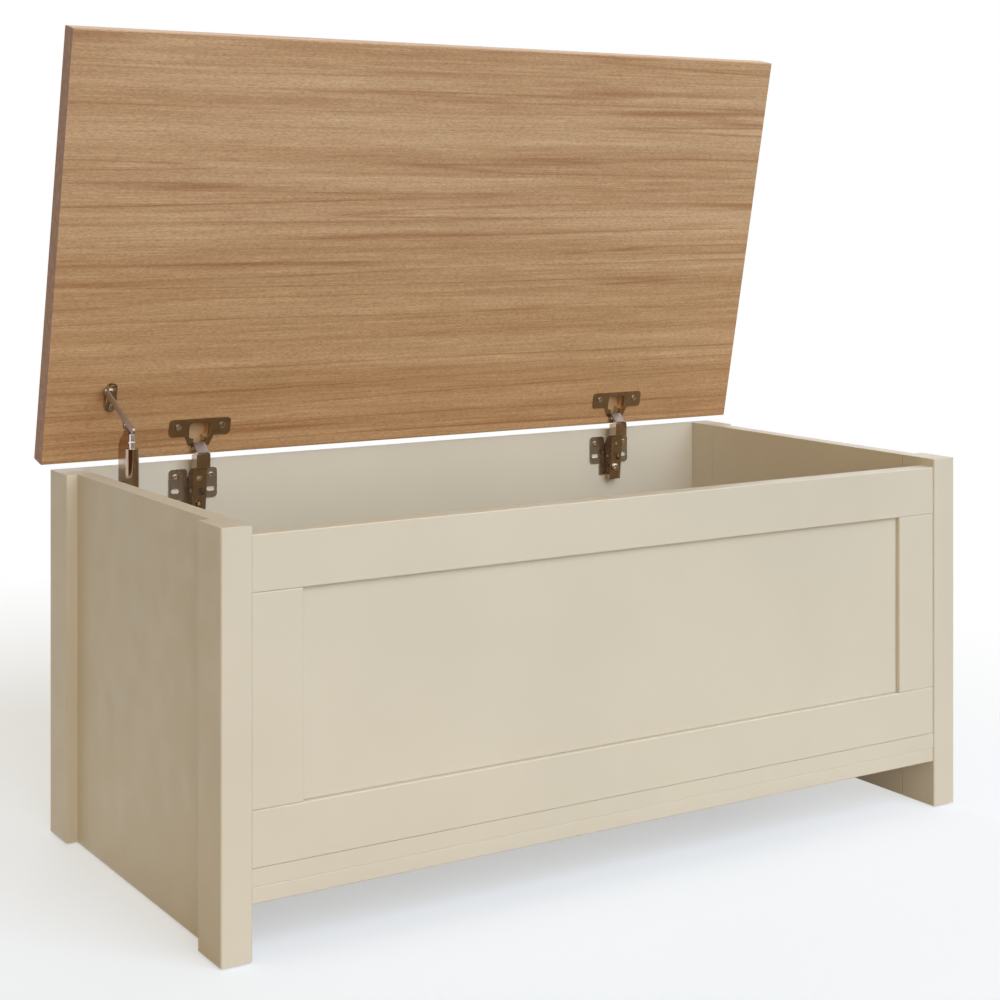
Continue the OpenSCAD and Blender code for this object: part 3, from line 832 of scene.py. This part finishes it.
@dataclass
class Screw:
    """A screw's head with its recess, on its shank.

    Sizes are in millimetres. The dome's rings are shares of the head's radius and height.
    """

    head_radius: float = 3.2
    head_height: float = 1.2
    shank_radius: float = 1.75
    recess: Recess = Recess.CROSS
    recess_share: float = 0.56
    recess_width: float = 0.5
    recess_depth: float = 0.9
    recess_taper: float = 0.8
    flat_share: float = 0.74
    flat_drop: float = 0.03
    dome: tuple[Band, ...] = ((0.94, 0.2), (1.0, 0.55), (1.0, 1.0))
    point_start: float = 0.9
    point_share: float = 0.55
    rings: int = 32

    def add(self, mesh: bmesh.types.BMesh, top: Vector, outward: Vector, length: float,
            turn: float) -> None:
        """Adds one screw to a mesh.

        Args:
            mesh: The mesh that takes the screw.
            top: The middle of the head's top, in metres.
            outward: The way that the head faces.
            length: From the head's top to the tip, in millimetres.
            turn: Turn of the recess about the screw, in degrees.
        """
        screw = bmesh.new()
        cut = self._recess_faces(screw)
        self._draw_down(screw, length)
        self._sink(screw, cut)
        bmesh.ops.recalc_face_normals(screw, faces=screw.faces)
        facing = Vector((0, 0, 1)).rotation_difference(outward.normalized()).to_matrix().to_4x4()
        place = Matrix.Translation(top) @ facing @ Matrix.Rotation(math.radians(turn), 4, "Z")
        bmesh.ops.transform(screw, matrix=place @ Matrix.Scale(MM, 4), verts=screw.verts)
        spare = bpy.data.meshes.new("screw")
        screw.to_mesh(spare)
        screw.free()
        mesh.from_mesh(spare)
        bpy.data.meshes.remove(spare)

    def _recess_faces(self, screw: bmesh.types.BMesh) -> list[bmesh.types.BMFace]:
        """Starts the head with a grid of nine faces, its middle lines as wide as the recess.

        Args:
            screw: The empty mesh.

        Returns:
            The faces that the recess takes.
        """
        reach = self.head_radius * self.recess_share
        grid = bmesh.ops.create_grid(screw, x_segments=3, y_segments=3, size=reach)
        for vert in grid["verts"]:
            for axis in range(2):
                inner = abs(vert.co[axis]) < reach * 0.9
                if inner:
                    vert.co[axis] = math.copysign(self.recess_width, vert.co[axis])
        near = self.recess_width * 0.5
        row = [f for f in screw.faces if abs(f.calc_center_median().y) < near]
        column = [f for f in screw.faces if abs(f.calc_center_median().x) < near]
        return row if self.recess is Recess.SLOT else list(dict.fromkeys(row + column))

    def _draw_down(self, screw: bmesh.types.BMesh, length: float) -> None:
        """Rounds the head off and draws the shank down to its tip.

        Args:
            screw: The mesh that holds the grid.
            length: From the head's top to the tip.
        """
        border = [e for e in screw.edges if e.is_boundary]
        lowered = Matrix.Translation((0, 0, -self.head_height * self.flat_drop))
        circle = bmesh.ops.create_circle(screw, segments=self.rings, matrix=lowered,
                                         radius=self.head_radius * self.flat_share)
        rim = list(dict.fromkeys(e for v in circle["verts"] for e in v.link_edges))
        bmesh.ops.bridge_loops(screw, edges=border + rim)
        for radius, height in self._profile(length):
            lower = bmesh.ops.extrude_edge_only(screw, edges=rim)["geom"]
            rim = [g for g in lower if isinstance(g, bmesh.types.BMEdge)]
            for vert in (g for g in lower if isinstance(g, bmesh.types.BMVert)):
                flat = Vector((vert.co.x, vert.co.y, 0)).normalized() * radius
                vert.co = Vector((flat.x, flat.y, height))
        bmesh.ops.edgeloop_fill(screw, edges=rim)

    def _profile(self, length: float) -> list[Band]:
        """Works out each ring from the head's rim to the tip.

        Args:
            length: From the head's top to the tip.

        Returns:
            Radius and height of each ring.
        """
        dome = [(self.head_radius * wide, -self.head_height * down) for wide, down in self.dome]
        shank = self.shank_radius
        return dome + [(shank, -self.head_height), (shank, -length * self.point_start),
                       (shank * self.point_share, -length)]

    def _sink(self, screw: bmesh.types.BMesh, cut: list[bmesh.types.BMFace]) -> None:
        """Sinks the recess into the head, a little narrower at its floor.

        Args:
            screw: The closed screw.
            cut: The faces that the recess takes.
        """
        sunk = bmesh.ops.extrude_face_region(screw, geom=cut)["geom"]
        floor = [g for g in sunk if isinstance(g, bmesh.types.BMVert)]
        bmesh.ops.delete(screw, geom=[f for f in cut if f.is_valid], context="FACES_ONLY")
        bmesh.ops.translate(screw, verts=floor, vec=(0, 0, -self.recess_depth))
        bmesh.ops.scale(screw, verts=floor, vec=(self.recess_taper, self.recess_taper, 1.0))


def solids_of(node: str) -> list[list[Vector]]:
    """Finds the separate solids of a CAD node.

    Args:
        node: The CAD node.

    Returns:
        The corner points of each solid, in the order of the corner that is nearest the origin.
    """
    mesh = welded(node)
    groups, seen = [], set()
    for start in mesh.verts:
        if start in seen:
            continue
        group, edge = [], [start]
        seen.add(start)
        while edge:
            vert = edge.pop()
            group.append(vert.co.copy())
            near = [e.other_vert(vert) for e in vert.link_edges]
            edge += [v for v in near if v not in seen]
            seen.update(near)
        groups.append(group)
    mesh.free()
    return sorted(groups, key=lambda points: tuple(round(c, 4) for c in min(points)))


def screwed(node: str, body: str, material: bpy.types.Material, outward: Vector,
            kinds: list[Screw], turns: list[float]) -> bpy.types.Object:
    """Replaces a CAD node of plain screws with screws whose heads have their recesses.

    Args:
        node: The CAD node.
        body: The body that it rides on.
        material: Its finish.
        outward: The way that the heads face.
        kinds: The screw for each solid, in the order of their places; the last one repeats.
        turns: Turn of each recess, in degrees; the last one repeats.

    Returns:
        The piece.
    """
    way = outward.normalized()
    mesh = bmesh.new()
    for index, points in enumerate(solids_of(node)):
        heights = [point.dot(way) for point in points]
        edge = max(heights) - TOP_BAND
        cap = [point for point, height in zip(points, heights) if height > edge]
        top = sum(cap, Vector()) / len(cap)
        kind, turn = kinds[min(index, len(kinds) - 1)], turns[min(index, len(turns) - 1)]
        kind.add(mesh, top, way, (max(heights) - min(heights)) / MM, turn)
    return hand_over(mesh, f"{node}_driven", body, material, node, SCREW_SHARP)


@dataclass
class Carcass:
    """The painted box: posts, panels, the framed front and the hidden base parts.

    The edges are how far each kind of board is rounded, in metres.
    """

    finishes: Finishes
    body: str = "box"
    edge: float = 0.0006
    face_edge: float = 0.0009
    seam_edge: float = 0.0002
    batten_edge: float = 0.0005
    glide_edge: float = 0.0003
    posts: list[str] = field(default_factory=lambda: [
        f"post_{end}_{side.tag}" for end in ("front", "rear") for side in Side])
    panels: list[str] = field(default_factory=lambda: [
        "side_panel_left", "side_panel_right", "back_panel"])
    front: list[str] = field(default_factory=lambda: [
        "front_top_rail", "front_bottom_rail", "apron_strip", "stile_left", "stile_right",
        "front_panel"])

    def build(self) -> None:
        """Builds every painted board and dresses the hidden parts."""
        self._painted(self.posts, self.edge, 3)
        self._painted(self.panels, self.edge, 2)
        self._painted(self.front, self.face_edge, 3)
        self._painted(["base_panel"], self.seam_edge, 2)
        for side in Side:
            batten = f"batten_{side.tag}"
            softened(batten, f"{batten}_planed", self.body, self.finishes.batten, self.batten_edge)
        dress("frame_dowels", self.finishes.dowel)
        softened("floor_glides", "floor_glides_moulded", self.body, self.finishes.plastic,
                 self.glide_edge)

    def _painted(self, nodes: list[str], edge: float, steps: int) -> None:
        """Builds painted boards.

        Args:
            nodes: Their CAD nodes.
            edge: How far their edges are rounded.
            steps: Faces across each rounded edge.
        """
        for node in nodes:
            softened(node, f"{node}_painted", self.body, self.finishes.paint, edge, steps)


@dataclass
class Lid:
    """The wooden lid board."""

    finishes: Finishes

    def build(self) -> None:
        """Dresses the board."""
        dress("lid_board", self.finishes.wood)


@dataclass
class CupHinge:
    """One concealed hinge: flange, links, arm and mounting plate, with their screws.

    The edges are how far sheared and bent edges are rounded, in metres.
    """

    finishes: Finishes
    side: Side
    edge: float = 0.0002
    bend: float = 0.0005
    arm_bend: float = 0.0003
    cup_screw: Screw = field(default_factory=Screw)
    plate_screw: Screw = field(default_factory=Screw)
    fixing_screw: Screw = field(default_factory=lambda: Screw(
        head_radius=4.2, head_height=2.1, shank_radius=2.1, recess_width=0.6, recess_depth=1.4))
    adjuster: Screw = field(default_factory=lambda: Screw(
        head_radius=1.9, head_height=0.6, shank_radius=1.86, recess=Recess.SLOT,
        recess_share=0.5, recess_width=0.3, recess_depth=0.5))

    def build(self) -> None:
        """Builds the hinge's pieces."""
        tag, looks = self.side.tag, self.finishes
        outer, inner, arm = f"outer_link_{tag}", f"inner_link_{tag}", f"hinge_arm_{tag}"
        pins, plate = f"arm_pins_{tag}", f"mounting_plate_{tag}"
        softened(f"hinge_cup_{tag}", f"cup_flange_{tag}", "lid", looks.mirror, self.edge)
        softened(outer, f"{outer}_pressed", outer, looks.link, self.bend, 3)
        softened(inner, f"{inner}_pressed", inner, looks.mirror, self.edge)
        softened(arm, f"{arm}_pressed", "box", looks.mirror, self.arm_bend, 3)
        softened(pins, f"{pins}_riveted", "box", looks.screw, self.edge)
        softened(plate, f"{plate}_pressed", "box", looks.satin, self.edge)
        screwed(f"cup_screws_{tag}", "lid", looks.screw, LID_UNDERSIDE, [self.cup_screw],
                [20.0, 55.0])
        screwed(f"plate_screws_{tag}", "box", looks.screw, FRONT, [self.plate_screw], [35.0, 10.0])
        screwed(f"arm_screws_{tag}", "box", looks.screw, FRONT, [self.fixing_screw, self.adjuster],
                [25.0, 30.0])


@dataclass
class LidStay:
    """The damped stay at the left: brackets, strap, arm plate, damper tube and plunger."""

    finishes: Finishes
    edge: float = 0.00025
    wall_screw: Screw = field(default_factory=lambda: Screw(
        head_radius=3.8, head_height=1.6, shank_radius=2.0, recess_depth=1.1))
    lid_screw: Screw = field(default_factory=Screw)

    def build(self) -> None:
        """Builds the stay's pieces."""
        looks = self.finishes
        for node, work, body, finish in (
                ("stay_wall_bracket", "pressed", "box", looks.mirror),
                ("stay_arm", "pressed", "stay_arm", looks.mirror),
                ("stay_damper_tube", "drawn", "stay_arm", looks.mirror),
                ("stay_plunger", "turned", "stay_plunger", looks.turned),
                ("stay_strap", "pressed", "stay_strap", looks.link),
                ("stay_lid_bracket", "pressed", "lid", looks.mirror)):
            softened(node, f"{node}_{work}", body, finish, self.edge)
        screwed("stay_wall_screws", "box", looks.screw, RIGHT, [self.wall_screw],
                [15.0, 70.0, 40.0])
        screwed("stay_lid_screws", "lid", looks.screw, LID_UNDERSIDE, [self.lid_screw],
                [30.0, 65.0])


@dataclass(frozen=True)
class Lamp:
    """A square soft lamp. Its place, aim and side are in metres, its power in watts."""

    name: str
    place: Triple
    side: float
    power: float
    tone: Colour
    aim: Triple = (0.0, 0.0, 0.35)

    def hang(self) -> None:
        """Puts the lamp up, aimed at the box and unseen in its metal."""
        data = bpy.data.lights.new(self.name, "AREA")
        data.size = self.side
        data.energy = self.power
        data.color = self.tone
        lamp = bpy.data.objects.new(self.name, data)
        lamp.location = self.place
        way = Vector(self.aim) - Vector(self.place)
        lamp.rotation_euler = way.to_track_quat("-Z", "Y").to_euler()
        lamp.visible_glossy = False
        bpy.context.scene.collection.objects.link(lamp)


@dataclass
class Studio:
    """Camera, floor, lamps and world.

    The camera stands at the eye and looks level, the heading's degrees to the right of +Y. The
    fades are distances from their middle, in metres, over which the floor turns white to the
    camera and stops throwing light back. Reflections see a dim room before the object, which
    turns white between the two room_turns from front to back, and on the floor that way runs
    over floor_room along Y.
    """

    eye: Triple = (-1.0536, -1.6497, 0.6185)
    heading: float = 32.24
    lens: float = 69.59
    sensor: float = 36.0
    drop: float = -0.2942
    sight: float = 60.0
    room_tone: Colour = (0.105, 0.043, 0.015)
    room_turns: Band = (0.38, 0.56)
    fill_tone: Colour = (0.4, 0.325, 0.19)
    ceiling_band: Band = (0.12, 0.4)
    ceiling_tone: Colour = (1.8, 1.78, 1.8)
    floor_reach: float = 30.0
    floor_albedo: Colour = (0.525, 0.565, 0.63)
    floor_bounce: Colour = (0.66, 0.62, 0.55)
    floor_lift: float = 0.45
    floor_middle: Triple = (-0.4, 0.05, 0.0)
    floor_fade: Band = (0.6, 1.5)
    bounce_middle: Triple = (0.0, 0.0, 0.0)
    bounce_fade: Band = (0.8, 2.1)
    floor_room: Band = (-1.6, 1.6)
    lamps: tuple[Lamp, ...] = (
        Lamp("key_lamp", (0.5, -4.2, 2.6), 4.8, 246.0, (0.69, 0.82, 1.0)),
        Lamp("top_lamp", (0.2, -0.5, 4.4), 3.4, 6.0, (0.94, 0.96, 0.96)),
        Lamp("left_lamp", (-2.4, -3.9, 1.6), 2.6, 35.0, (1.0, 0.6, 0.17)),
        Lamp("back_lamp", (0.9, 4.4, 1.3), 2.4, 85.0, (0.84, 0.9, 1.0)))

    def build(self) -> None:
        """Builds the studio."""
        scene = bpy.context.scene
        scene.view_settings.view_transform = "Standard"
        self._camera(scene)
        self._world(scene)
        self._floor(scene)
        for lamp in self.lamps:
            lamp.hang()

    def _camera(self, scene: bpy.types.Scene) -> None:
        """Sets the camera up, level, with its horizon above the middle of the frame.

        Args:
            scene: The scene that it looks at.
        """
        data = bpy.data.cameras.new("camera")
        data.lens = self.lens
        data.sensor_width = self.sensor
        data.shift_y = self.drop
        data.clip_end = self.sight
        camera = bpy.data.objects.new("camera", data)
        camera.location = self.eye
        camera.rotation_euler = (math.radians(90), 0.0, math.radians(-self.heading))
        scene.collection.objects.link(camera)
        scene.camera = camera

    def _room(self, kit: NodeKit, depth: Socket) -> Socket:
        """Colours reflections: a dim room before the object, a white background behind it.

        Args:
            kit: The node tree.
            depth: 0 at the front, 1 at the back.

        Returns:
            The colour socket.
        """
        dim, white = self.room_turns
        return kit.ramp(depth, [(0.0, self.room_tone), (dim, self.room_tone), (white, WHITE),
                                (1.0, WHITE)])

    def _in_view(self, kit: NodeKit, path: bpy.types.Node) -> Socket:
        """Finds what the camera sees, by itself or through glass.

        Args:
            kit: The node tree.
            path: Its light path node.

        Returns:
            The factor socket.
        """
        return kit.larger(path.outputs["Is Camera Ray"], path.outputs["Is Transmission Ray"])

    def _world(self, scene: bpy.types.Scene) -> None:
        """Makes the world white to the camera, and the room with a bright ceiling to reflections.

        Args:
            scene: The scene that takes the world.
        """
        world = bpy.data.worlds.new("studio")
        world.use_nodes = True
        kit = NodeKit(world.node_tree)
        path = kit.node("ShaderNodeLightPath")
        way = kit.coords.outputs["Generated"]
        room = self._room(kit, kit.between(kit.axis(way, "Y"), 0.0, 1.0, -1.0, 1.0))
        ceiling = kit.between(kit.axis(way, "Z"), 0.0, 1.0, *self.ceiling_band)
        above = kit.mix(ceiling, room, self.ceiling_tone)
        lit = kit.mix(path.outputs["Is Glossy Ray"], self.fill_tone, above)
        seen = kit.mix(self._in_view(kit, path), lit, WHITE)
        kit.wire(seen, world.node_tree.nodes["Background"].inputs["Color"])
        scene.world = world

    def _floor(self, scene: bpy.types.Scene) -> None:
        """Lays a pale floor that takes the object's shadow and fades into the background.

        Args:
            scene: The scene that takes the floor.
        """
        mesh = bmesh.new()
        bmesh.ops.create_grid(mesh, x_segments=1, y_segments=1, size=self.floor_reach)
        data = bpy.data.meshes.new("floor")
        mesh.to_mesh(data)
        mesh.free()
        data.materials.append(self._floor_material())
        floor = bpy.data.objects.new("floor", data)
        scene.collection.objects.link(floor)

    def _floor_material(self) -> bpy.types.Material:
        """Builds the floor's material: shadowed to the camera, the room to reflections.

        Returns:
            The material.
        """
        swatch = Swatch("pale_floor", roughness=1.0)
        shader = swatch.shader
        shader.inputs["Specular IOR Level"].default_value = 0.0
        shader.inputs["Emission Color"].default_value = (*WHITE, 1.0)
        path = swatch.node("ShaderNodeLightPath")
        away = self._fade(swatch, self.floor_middle, self.floor_fade)
        beyond = self._fade(swatch, self.bounce_middle, self.bounce_fade)
        viewed = swatch.toned(away, self.floor_albedo, BLACK, (0.0, 1.0))
        bounced = swatch.toned(beyond, self.floor_bounce, BLACK, (0.0, 1.0))
        tone = swatch.mix(path.outputs["Is Camera Ray"], bounced, viewed)
        swatch.wire(tone, shader.inputs["Base Color"])
        glow = swatch.times(self._in_view(swatch, path), swatch.between(away, self.floor_lift, 1.0))
        swatch.wire(glow, shader.inputs["Emission Strength"])
        depth = swatch.between(swatch.axis(swatch.place, "Y"), 0.0, 1.0, *self.floor_room)
        mirrored = swatch.node("ShaderNodeEmission")
        swatch.wire(self._room(swatch, depth), mirrored.inputs["Color"])
        chosen = swatch.node("ShaderNodeMixShader")
        swatch.wire(path.outputs["Is Glossy Ray"], chosen.inputs[0])
        swatch.wire(shader.outputs["BSDF"], chosen.inputs[1])
        swatch.wire(mirrored.outputs["Emission"], chosen.inputs[2])
        output = swatch.tree.nodes["Material Output"]
        swatch.wire(chosen.outputs["Shader"], output.inputs["Surface"])
        return swatch.material

    def _fade(self, swatch: Swatch, middle: Triple, band: Band) -> Socket:
        """Measures how far the floor has faded.

        Args:
            swatch: The floor's material.
            middle: Where the distance is taken from.
            band: The distances at which the fade starts and ends.

        Returns:
            The factor socket, 0 near the middle and 1 past the band.
        """
        reach = swatch.against("DISTANCE", swatch.place, middle)
        return swatch.between(reach, 0.0, 1.0, *band)


def main() -> None:
    """Builds the studio and every part of the object, in order."""
    logging.basicConfig(level=logging.INFO, format="%(message)s")
    Studio().build()
    finishes = Finishes()
    Carcass(finishes).build()
    Lid(finishes).build()
    for side in Side:
        CupHinge(finishes, side).build()
    LidStay(finishes).build()


if __name__ == "__main__":
    main()
